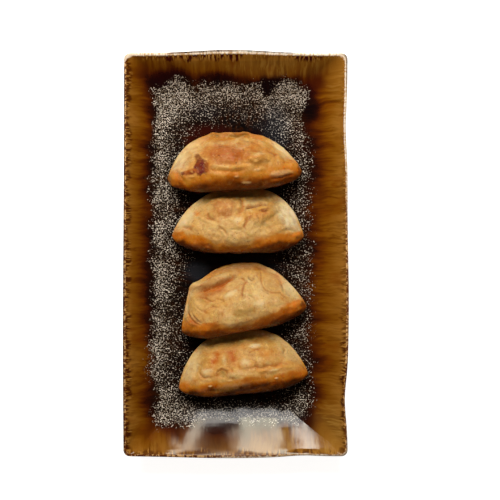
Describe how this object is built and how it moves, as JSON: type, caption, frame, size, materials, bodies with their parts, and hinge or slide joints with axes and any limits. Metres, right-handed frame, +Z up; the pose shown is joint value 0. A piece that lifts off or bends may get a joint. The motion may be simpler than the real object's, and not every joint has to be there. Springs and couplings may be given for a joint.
{
  "type": "plate of pan-fried dumplings",
  "caption": "Half-moon pan-fried dumplings with browned bases and pressed seams, lying on their sides in a row on a rectangular reactive-glaze stoneware plate.",
  "frame": {"origin": "under the middle of the plate, on the surface that it stands on", "axes": "+Z up, +Y along the plate towards the side that the dumplings' sealed edges point to, +X across the plate"},
  "size_m": [0.1362, 0.2458, 0.0268],
  "materials": {
    "glaze": "glossy brown reactive glaze",
    "fried_dough": "oiled, pan-browned wheat dough"
  },
  "bodies": {
    "root": {"plate": "glaze", "dumpling_1": "fried_dough", "dumpling_2": "fried_dough", "dumpling_3": "fried_dough", "dumpling_4": "fried_dough"}
  },
  "joints": []
}
